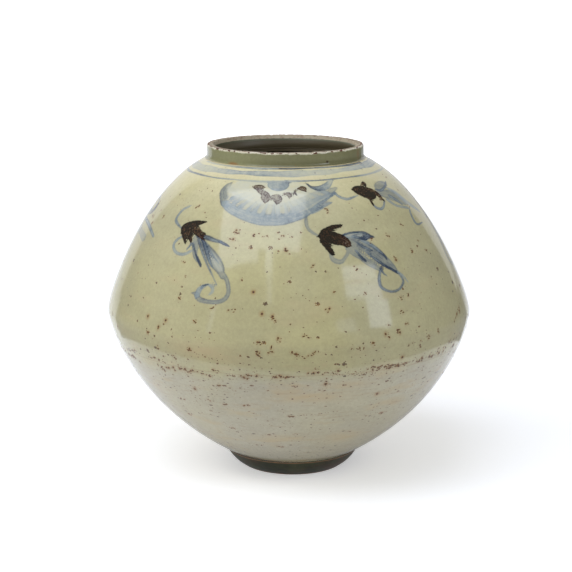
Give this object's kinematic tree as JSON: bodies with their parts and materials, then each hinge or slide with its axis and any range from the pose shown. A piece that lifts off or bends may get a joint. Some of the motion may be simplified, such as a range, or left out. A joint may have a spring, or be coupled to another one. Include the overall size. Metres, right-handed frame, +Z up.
{
  "type": "storage jar",
  "caption": "Wide-bellied glazed stoneware jar with a low open collar, a tapered foot ring and a luted joint below the belly.",
  "frame": {"origin": "on the resting plane of the foot, straight under the middle of the belly", "axes": "+Z up, from the foot to the mouth; -Y is the side that the picture shows; +X is to its right"},
  "size_m": [0.36, 0.36, 0.3243],
  "materials": {
    "dark_foot_glaze": "satin dark glaze over iron-brown clay",
    "bare_slip": "matt fired slip",
    "pale_body_glaze": "glossy pale grey-green glaze with iron pits",
    "olive_body_glaze": "glossy olive glaze over underglaze-blue and iron-brown brushwork",
    "olive_collar_glaze": "glossy olive glaze, worn to the clay on the lip"
  },
  "bodies": {
    "root": {"foot_ring": "dark_foot_glaze", "foot_joint_slip": "bare_slip", "lower_bowl": "pale_body_glaze", "belly_joint_slip": "bare_slip", "upper_bowl": "olive_body_glaze", "collar_joint_slip": "bare_slip", "collar": "olive_collar_glaze"}
  },
  "joints": []
}
